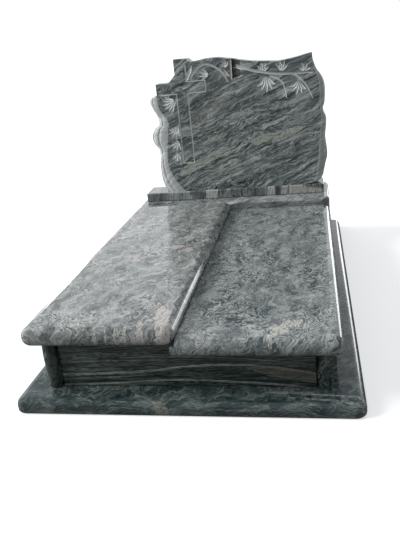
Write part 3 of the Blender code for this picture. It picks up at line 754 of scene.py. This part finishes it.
def make_post(node):
    low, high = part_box(node)
    middle = (low + high) / 2
    belly = (high.x - low.x) / 2
    height = high.z - low.z
    profile = [(0.0, 0.0), (post_radius(0, belly) - ARRIS, 0.0), (post_radius(0, belly), ARRIS / height)]
    profile += [(post_radius(row / POST_ROWS, belly), row / POST_ROWS) for row in range(1, POST_ROWS)]
    profile += [(post_radius(1, belly), 1 - ARRIS / height), (post_radius(1, belly) - ARRIS, 1.0), (0.0, 1.0)]
    bm = bmesh.new()
    line = [bm.verts.new((middle.x + radius, middle.y, low.z + share * height)) for radius, share in profile]
    edges = [bm.edges.new(pair) for pair in zip(line, line[1:])]
    bmesh.ops.spin(bm, geom=line + edges, cent=middle, axis=(0, 0, 1), dvec=(0, 0, 0), angle=2 * math.pi,
                   steps=POST_TURNS, use_merge=True, use_duplicate=False)
    bmesh.ops.remove_doubles(bm, verts=bm.verts, dist=SAME)
    finish_piece(bm, node, [stone["post"]])


make_post("front_post_left")
make_post("front_post_right")

# %% [markdown]
# The cover slabs. Both have a full round along every free rim. The right one lies lower and keeps a
# square side with a short tongue, which reaches under the left slab's rim. That side could be built from
# an outline, but then its rounded corners would have to be made apart. It is simpler to round the whole
# slab and to cut the rebate out of it afterwards with a Boolean.

# %% Cutting one mesh with another
FINISH_COUNT = len(headstone_stone)
LEAST_LEFT = 0.98


def subtract(bm, cutters):
    """The bmesh with every cutter taken away, in order. A cutter is an object and is used up. The solver
    is only sure of a closed body, so the body's open edges are counted and what is left is measured."""
    whole = bm.calc_volume()
    open_edges = sum(not edge.is_manifold for edge in bm.edges)
    body = link_mesh("body", bm)
    for _ in range(FINISH_COUNT):
        body.data.materials.append(None)
    for cutter, overlapping in cutters:
        modifier = body.modifiers.new(cutter.name, "BOOLEAN")
        modifier.operation = "DIFFERENCE"
        modifier.solver = "EXACT"
        modifier.use_self = overlapping
        modifier.object = cutter
    graph = bpy.context.evaluated_depsgraph_get()
    mesh = bpy.data.meshes.new_from_object(body.evaluated_get(graph))
    result = bmesh.new()
    result.from_mesh(mesh)
    bpy.data.meshes.remove(mesh)
    for item in [body] + [cutter for cutter, overlapping in cutters]:
        bpy.data.objects.remove(item, do_unlink=True)
    left = result.calc_volume() / whole
    print("cut:", open_edges, "open edges before it and %.4f of the stone left" % left)
    if open_edges or not LEAST_LEFT < left < 1:
        raise RuntimeError("a cut has gone wrong")
    bmesh.ops.remove_doubles(result, verts=result.verts, dist=SAME)
    return result


# %% Cover slabs
LEDGER_CORNER = 0.034
LEDGER_ROUND = 0.0285
SLAB_JOINT = 0.0015
TONGUE_CLEARANCE = 0.001
REACH = 0.06

bm = slab(left_low, left_high, LEDGER_CORNER, LEDGER_ROUND, LEDGER_ROUND)
hold_flats(bm)
finish_piece(bm, "ledger_left", [stone["left ledger"]])

bm = slab(right_low, right_high, LEDGER_CORNER, LEDGER_ROUND, LEDGER_ROUND, square_left=True)
rebate_low = Vector((right_low.x - REACH, right_low.y - REACH, left_low.z - TONGUE_CLEARANCE))
rebate_high = Vector((left_high.x + SLAB_JOINT, right_high.y + REACH, right_high.z + REACH))
bm = subtract(bm, [(link_mesh("rebate", box(rebate_low, rebate_high)), False)])
hold_flats(bm)
finish_piece(bm, "ledger_right", [stone["right ledger"]])

# %% Rear block and plinth
BLOCK_ROUND = 0.014
PLINTH_ARRIS = 0.004
PLINTH_SEGMENTS = 4

bm = slab(*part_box("rear_block"), LEDGER_CORNER, BLOCK_ROUND, BLOCK_ROUND / 2)
hold_flats(bm)
finish_piece(bm, "rear_block", [stone["rear block"]])

bm = box(*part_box("plinth"))
round_over(bm, list(bm.edges), PLINTH_ARRIS, PLINTH_SEGMENTS)
hold_flats(bm)
finish_piece(bm, "plinth", [stone["plinth"]])

# %% [markdown]
# The headstone's outline. The stone has a free form: a wavy top, a left side whose upper part is the arm
# and head of the cross, and sides that swell and draw in. Such a form has no formula, so it is drawn as
# the few points that its turns need, on a pattern as wide and high as the stone, and a smooth curve runs
# through them. Each point of a side also says how wide its rounded band is.

# %% Outline of the headstone
PATTERN_WIDTH = 0.902
PATTERN_HEIGHT = 0.665
HEADSTONE_SHIFT = 0.040
STONE_ARRIS = 0.004
LEFT_BAND_DEPTH = 0.045
RIGHT_BAND_DEPTH = 0.034
RIGHT_BAND_SHARE = 1.3
CROSS_X = -0.2590
CROSS_UPRIGHT = 0.058
CROSS_LEFT_X = -0.391
CROSS_RIGHT_X = -0.137
CROSS_ARM_LOW = 0.500
CROSS_ARM_HIGH = 0.555
CROSS_FOOT = 0.150
CROSS_HEAD_LINE_END = 0.635
CORNER_FILLET = 0.036
UPRIGHT_LEFT_X = CROSS_X - CROSS_UPRIGHT / 2
UPRIGHT_RIGHT_X = CROSS_X + CROSS_UPRIGHT / 2
TOP_EDGE = [
    (-0.223, 0.663), (-0.207, 0.649), (-0.183, 0.648), (-0.131, 0.655), (-0.071, 0.655),
    (-0.027, 0.647), (0.002, 0.643), (0.041, 0.633), (0.114, 0.621), (0.211, 0.613),
    (0.259, 0.615), (0.317, 0.622), (0.355, 0.630), (0.389, 0.636),
]
RIGHT_EDGE = [
    (0.391, 0.606, 0.006), (0.408, 0.558, 0.012), (0.434, 0.520, 0.022), (0.445, 0.485, 0.027),
    (0.445, 0.438, 0.026), (0.442, 0.400, 0.024), (0.433, 0.369, 0.012), (0.449, 0.325, 0.026),
    (0.445, 0.272, 0.027), (0.442, 0.229, 0.029), (0.450, 0.148, 0.044), (0.438, 0.093, 0.040),
    (0.431, 0.062, 0.038), (0.424, 0.034, 0.034), (0.403, 0.012, 0.026), (0.352, 0.000, 0.012),
]
LEFT_EDGE = [
    (-0.400, 0.000, 0.106), (-0.413, 0.026, 0.098), (-0.422, 0.060, 0.083), (-0.425, 0.098, 0.068),
    (-0.424, 0.147, 0.053), (-0.418, 0.205, 0.048), (-0.421, 0.227, 0.055), (-0.436, 0.246, 0.072),
    (-0.447, 0.264, 0.086), (-0.451, 0.289, 0.095), (-0.444, 0.314, 0.090), (-0.427, 0.336, 0.076),
    (-0.407, 0.347, 0.062), (-0.404, 0.377, 0.054), (-0.414, 0.407, 0.046), (-0.427, 0.430, 0.044),
    (-0.441, 0.468, 0.050), (-0.433, 0.487, 0.042), (-0.414, 0.496, 0.022), (-0.392, 0.499, 0.004),
]
CURVE_STEPS = 5


def through(rows, steps):
    """Points along a smooth curve through the rows. A row may hold any count of numbers."""
    found = []
    for index in range(len(rows) - 1):
        four = [rows[max(index - 1, 0)], rows[index], rows[index + 1], rows[min(index + 2, len(rows) - 1)]]
        for step in range(steps):
            t = step / steps
            weights = (
                (-t + 2 * t**2 - t**3) / 2,
                (2 - 5 * t**2 + 3 * t**3) / 2,
                (t + 4 * t**2 - 3 * t**3) / 2,
                (t**3 - t**2) / 2,
            )
            found.append(tuple(sum(w * n for w, n in zip(weights, numbers)) for numbers in zip(*four)))
    return found + [tuple(rows[-1])]


def outline_rows():
    """Rows of x, z, band width towards the middle and band depth, once around the stone."""
    rows = [(x, z, 0.0, STONE_ARRIS) for x, z in through(TOP_EDGE, CURVE_STEPS)]
    for x, z, band in through(RIGHT_EDGE, CURVE_STEPS):
        rows.append((x, z, -band, min(RIGHT_BAND_DEPTH, max(STONE_ARRIS, RIGHT_BAND_SHARE * band))))
    for x, z, band in through(LEFT_EDGE, CURVE_STEPS):
        rows.append((x, z, band, min(LEFT_BAND_DEPTH, max(STONE_ARRIS, band))))
    corners = [
        (CROSS_LEFT_X, CROSS_ARM_LOW + STONE_ARRIS),
        (CROSS_LEFT_X, CROSS_ARM_HIGH),
        (UPRIGHT_LEFT_X - CORNER_FILLET, CROSS_ARM_HIGH),
        (UPRIGHT_LEFT_X, CROSS_ARM_HIGH + CORNER_FILLET),
        (UPRIGHT_LEFT_X, PATTERN_HEIGHT),
    ]
    return rows + [(x, z, 0.0, STONE_ARRIS) for x, z in corners]


ROWS = outline_rows()
print(len(ROWS), "points once around the headstone")

# %% [markdown]
# The headstone's body. Its sides run straight back from the rounded bands. The body is therefore a loop
# of edges that is extruded ring by ring, from the back to the face, and the two open ends are filled.
# Two shallow flutes run along the wide left band, and a narrow quirk parts the band from the face. A
# number kept on each vertex says which outline point it belongs to, so that every ring can be placed.
# At the foot the last two rings lie on one line, so the quad between them has no area. It is dissolved,
# because a Boolean drops such a face and then works on an open body, where its result isn't sure.

# %% Body of the headstone
low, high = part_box("headstone")
STONE_FOOT = low.z
FACE = low.y
THICKNESS = high.y - low.y
WIDE = (high.x - low.x) / PATTERN_WIDTH
TALL = (high.z - low.z) / PATTERN_HEIGHT
BAND_RINGS = 20
FLUTE_DEPTH = 0.0045
FLUTES = ((0.32, 0.055), (0.64, 0.040))
FLUTED_FROM, FLUTED_TO = 0.030, 0.050
QUIRK = 0.0022
ARRIS_LEAN = 0.35
FACING = -0.9999


def place(x, z, depth=0.0):
    """A pattern point on the real stone, at a depth behind the face."""
    return Vector((x * WIDE + HEADSTONE_SHIFT, FACE + depth, z * TALL + STONE_FOOT))


def inward(index):
    """The direction into the stone at an outline point."""
    before, after = ROWS[index - 1], ROWS[(index + 1) % len(ROWS)]
    along = Vector((after[0] - before[0], after[1] - before[1])).normalized()
    return Vector((along.y, -along.x))


def band_point(index, share):
    """A point on the rounded band: share 0 is the side of the stone and 1 the face."""
    x, z, band, depth = ROWS[index]
    turn = math.pi / 2 * share
    sink = depth * (1 - math.sin(turn))
    if band == 0.0:
        aside = inward(index) * depth * (1 - math.cos(turn)) * ARRIS_LEAN
        return place(x + aside.x, z + aside.y, sink)
    fluted = min(1.0, max(0.0, (band - FLUTED_FROM) / (FLUTED_TO - FLUTED_FROM)))
    for middle, half in FLUTES:
        sink += fluted * FLUTE_DEPTH * max(0.0, 1 - ((share - middle) / half) ** 2 / 2)
    return place(x + band * (1 - math.cos(turn)), z, sink)


def face_border(index):
    """The face's own border, a quirk's width inside the band."""
    x, z, band, depth = ROWS[index]
    if band == 0.0:
        return band_point(index, 1.0)
    return place(x + band + math.copysign(QUIRK, band), z)


def back_point(index, inset, depth):
    x, z = ROWS[index][:2]
    aside = inward(index) * inset
    return place(x + aside.x, z + aside.y, depth)


def headstone_body():
    bm = bmesh.new()
    number = bm.verts.layers.int.new("outline point")
    count = len(ROWS)
    ring = []
    for index in range(count):
        vert = bm.verts.new(back_point(index, STONE_ARRIS / 2, THICKNESS))
        vert[number] = index
        ring.append(vert)
    loop = [bm.edges.new((ring[index], ring[(index + 1) % count])) for index in range(count)]
    back = list(loop)
    rings = [lambda index: back_point(index, 0.0, THICKNESS - STONE_ARRIS / 2)]
    for step in range(BAND_RINGS + 1):
        rings.append(lambda index, step=step: band_point(index, step / BAND_RINGS))
    rings.append(face_border)
    for point in rings:
        grown = bmesh.ops.extrude_edge_only(bm, edges=loop)["geom"]
        fresh = [item for item in grown if isinstance(item, bmesh.types.BMVert)]
        known = set(fresh)
        for vert in fresh:
            vert.co = point(vert[number])
        edges = [item for item in grown if isinstance(item, bmesh.types.BMEdge)]
        loop = [edge for edge in edges if known.issuperset(edge.verts)]
    bmesh.ops.contextual_create(bm, geom=back)
    bmesh.ops.contextual_create(bm, geom=loop)
    bmesh.ops.remove_doubles(bm, verts=bm.verts, dist=SAME)
    bmesh.ops.dissolve_degenerate(bm, dist=SAME, edges=bm.edges)
    bmesh.ops.recalc_face_normals(bm, faces=bm.faces)
    return bm


def choose_finish(bm):
    """The face is polished, the bands and sides are honed and the back is sawn."""
    for face in bm.faces:
        middle = face.calc_center_median()
        if middle.y > FACE + THICKNESS - SAME:
            face.material_index = SAWN
        elif face.normal.y < FACING and middle.y < FACE + SAME:
            face.material_index = POLISHED
        else:
            face.material_index = HONED


stone_body = headstone_body()
choose_finish(stone_body)
print("headstone body", len(stone_body.faces), "faces")

# %% [markdown]
# The carving. The cross is completed by a cut line, and leaf sprays are cut into the polished face,
# where the cut stone stays matt and pale. Each cut is a solid that lies half in the face and is taken
# away: a thin bar for the line, a tapering bar for a stem, and for a leaf a pointed four-sided body,
# whose two lower sides meet along the midrib as two chisel strokes do. The leaves of a spray fan out
# from its root, so a spray is seven numbers and a loop.

# %% Cutters for the lines and stems
LINE_WIDTH = 0.0075
STEM_WIDTH = 0.0115
THICK_STEM_WIDTH = 0.0165
THICK_STEMS = ("arch", "long branch")
STEM_TIP = 0.5
STEM_STEPS = 8
RAISE = 0.0006
STEMS = {
    "arch": [(-0.214, 0.562), (-0.192, 0.597), (-0.133, 0.630), (-0.062, 0.595), (-0.022, 0.535)],
    "long branch": [(0.020, 0.609), (0.109, 0.577), (0.232, 0.552), (0.392, 0.546)],
    "middle twig": [(0.176, 0.552), (0.240, 0.512), (0.253, 0.455)],
    "outer twig": [(0.292, 0.547), (0.314, 0.532), (0.322, 0.505)],
    "end twig": [(0.300, 0.546), (0.350, 0.494), (0.386, 0.424)],
    "low branch": [(-0.290, 0.480), (-0.318, 0.430), (-0.326, 0.395)],
    "low twig": [(-0.296, 0.350), (-0.312, 0.300), (-0.320, 0.200)],
}


def bar(name, points, width, raised, tip=1.0, finish=CUT):
    """A round bar along the face, a little proud of it, that tapers to its tip."""
    curve = bpy.data.curves.new(name, "CURVE")
    curve.dimensions = "3D"
    curve.bevel_depth = width / 2
    curve.bevel_resolution = 3
    curve.use_fill_caps = True
    spline = curve.splines.new("POLY")
    spline.points.add(len(points) - 1)
    for order, (target, (x, z, *depth)) in enumerate(zip(spline.points, points)):
        target.co = (*place(x, z, sum(depth) - raised), 1.0)
        target.radius = 1 + (tip - 1) * order / (len(points) - 1)
    drawn = link(name, curve)
    mesh = bpy.data.meshes.new_from_object(drawn.evaluated_get(bpy.context.evaluated_depsgraph_get()))
    bpy.data.objects.remove(drawn, do_unlink=True)
    bm = bmesh.new()
    bm.from_mesh(mesh)
    bpy.data.meshes.remove(mesh)
    bmesh.ops.remove_doubles(bm, verts=bm.verts, dist=SAME)
    bmesh.ops.recalc_face_normals(bm, faces=bm.faces)
    return cutter(name, bm, finish)


def cutter(name, bm, finish=CUT):
    """A helper object whose finish is left on the stone that it cuts."""
    for face in bm.faces:
        face.material_index = finish
    item = link_mesh(name, bm)
    for _ in range(FINISH_COUNT):
        item.data.materials.append(None)
    return item


CROSS_LINE = [
    (CROSS_LEFT_X + 2 * STONE_ARRIS, CROSS_ARM_LOW), (UPRIGHT_LEFT_X, CROSS_ARM_LOW),
    (UPRIGHT_LEFT_X, CROSS_FOOT), (UPRIGHT_RIGHT_X, CROSS_FOOT),
    (UPRIGHT_RIGHT_X, CROSS_ARM_LOW), (CROSS_RIGHT_X, CROSS_ARM_LOW),
    (CROSS_RIGHT_X, CROSS_ARM_HIGH), (UPRIGHT_RIGHT_X, CROSS_ARM_HIGH),
    (UPRIGHT_RIGHT_X, CROSS_HEAD_LINE_END),
]

# %% Cutters for the leaves and the fold
SPRAYS = [
    # root x, root z, aim and spread in degrees, leaves, leaf length, leaf width
    (0.147, 0.560, 80, 84, 4, 0.052, 0.0115),
    (0.239, 0.558, 82, 83, 4, 0.052, 0.0115),
    (0.348, 0.551, 83, 117, 4, 0.040, 0.0105),
    (0.161, 0.553, 273, 84, 5, 0.080, 0.0145),
    (0.322, 0.513, 257, 99, 5, 0.066, 0.0130),
    (0.254, 0.478, 263, 34, 2, 0.050, 0.0100),
    (-0.113, 0.576, 170, 77, 4, 0.056, 0.0110),
    (-0.026, 0.601, 108, 78, 4, 0.038, 0.0095),
    (-0.240, 0.540, 64, 0, 1, 0.092, 0.0190),
    (-0.042, 0.606, 292, 26, 2, 0.064, 0.0095),
    (-0.297, 0.474, 208, 92, 6, 0.074, 0.0140),
    (-0.298, 0.345, 236, 72, 5, 0.066, 0.0130),
    (-0.306, 0.276, 248, 66, 4, 0.062, 0.0125),
    (-0.318, 0.212, 262, 60, 3, 0.054, 0.0115),
]
LEAF_DEPTH = 0.0060
LEAF_BEND = 0.10
LEAF_SIDES = 16
LEAF_RINGS = 12
ROOT_GAP = 0.10
OUTER_SHORTER = 0.22
FOLD_X = 0.002
FOLD_FOOT = 0.549
FOLD_DEPTH = 0.014
FOLD_WIDTH = 0.062
FOLD_STEPS = 10


def leaf(bm, foot, angle, length, width, bend):
    """A pointed body with a four-sided section, lying half in the face. The angle is from +X to +Z."""
    verts = bmesh.ops.create_uvsphere(bm, u_segments=LEAF_SIDES, v_segments=LEAF_RINGS, radius=1.0)["verts"]
    for vert in verts:
        share = vert.co.z
        spread = max(abs(vert.co.x) + abs(vert.co.y), SAME)
        slim = (1 - share * share) / spread
        aside = vert.co.x * slim * width / 2 + bend * length * (1 - share * share)
        vert.co = Vector((aside, vert.co.y * slim * LEAF_DEPTH, share * length / 2))
    turn = Matrix.Rotation(math.pi / 2 - angle, 4, "Y")
    bmesh.ops.transform(bm, matrix=turn, verts=verts)
    middle = foot + Vector((math.cos(angle), 0.0, math.sin(angle))) * length / 2
    bmesh.ops.translate(bm, vec=middle - Vector((0.0, RAISE / 2, 0.0)), verts=verts)


def all_leaves():
    bm = bmesh.new()
    for root_x, root_z, aim, spread, count, length, width in SPRAYS:
        for order in range(count):
            share = order / (count - 1) - 0.5 if count > 1 else 0.0
            angle = math.radians(aim + spread * share)
            reach = length * (1 - OUTER_SHORTER * abs(2 * share))
            start = place(root_x, root_z) + Vector((math.cos(angle), 0, math.sin(angle))) * length * ROOT_GAP
            leaf(bm, start, angle, reach, width, 2 * share * LEAF_BEND)
    bmesh.ops.recalc_face_normals(bm, faces=bm.faces)
    return cutter("leaves", bm)


def hollow_depth(across):
    """How deep the hollow is at a distance to the right of the fold."""
    share = min(1.0, max(0.0, across / FOLD_WIDTH))
    return FOLD_DEPTH * (1 - share) ** 1.5 - STONE_ARRIS * share


def fold():
    """A hollow that is deepest at the fold and runs out to the right in a hollow curve."""
    outline = [(0.0, -STONE_ARRIS)]
    for step in range(FOLD_STEPS + 1):
        across = FOLD_WIDTH * step / FOLD_STEPS
        outline.append((across, hollow_depth(across)))
    bm = bmesh.new()
    foot = [bm.verts.new(place(FOLD_X + across, FOLD_FOOT, depth)) for across, depth in outline]
    grown = bmesh.ops.extrude_face_region(bm, geom=[bm.faces.new(foot)])
    moved = [item for item in grown["geom"] if isinstance(item, bmesh.types.BMVert)]
    bmesh.ops.translate(bm, vec=Vector((0, 0, (PATTERN_HEIGHT - FOLD_FOOT) * TALL)), verts=moved)
    bmesh.ops.recalc_face_normals(bm, faces=bm.faces)
    # the hollow gets the painted-shade finish: its stone is coloured darker where shade falls in it
    return cutter("fold", bm, PAINTED_SHADE)


# %% Carve the headstone
FOLD_LINE_WIDTH = 0.0080
CREASE_WIDTH = 0.0045
CREASE_STEPS = 5
STEM_RISE = 0.25
FOLD_LINE = [(FOLD_X - 0.006, FOLD_FOOT - 0.004), (FOLD_X - 0.005, 0.600), (FOLD_X - 0.004, 0.639)]
CREASE = [(0.006, 0.600), (0.030, 0.596), (0.050, 0.584), (0.052, 0.568), (0.036, 0.554), (0.006, 0.551)]

crease = [(x, z, hollow_depth(x - FOLD_X)) for x, z in through(CREASE, CREASE_STEPS)]
tools = [
    (fold(), False),
    (bar("cross line", CROSS_LINE, LINE_WIDTH, RAISE), False),
    (bar("fold line", FOLD_LINE, FOLD_LINE_WIDTH, RAISE), False),
    (bar("crease", crease, CREASE_WIDTH, RAISE), False),
]
for order, (stem, points) in enumerate(STEMS.items(), start=1):
    raised = RAISE * (1 + order * STEM_RISE)
    width = THICK_STEM_WIDTH if stem in THICK_STEMS else STEM_WIDTH
    tools.append((bar(stem, through(points, STEM_STEPS), width, raised, STEM_TIP, BRUSHED), False))
tools.append((all_leaves(), True))
stone_body = subtract(stone_body, tools)
finish_piece(stone_body, "headstone", headstone_stone, "_carved")

# %% [markdown]
# Closing. The last line prints the box that the visual model fills.

# %% Print the model's box
low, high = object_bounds()
print("visual model from", low[:], "to", high[:])
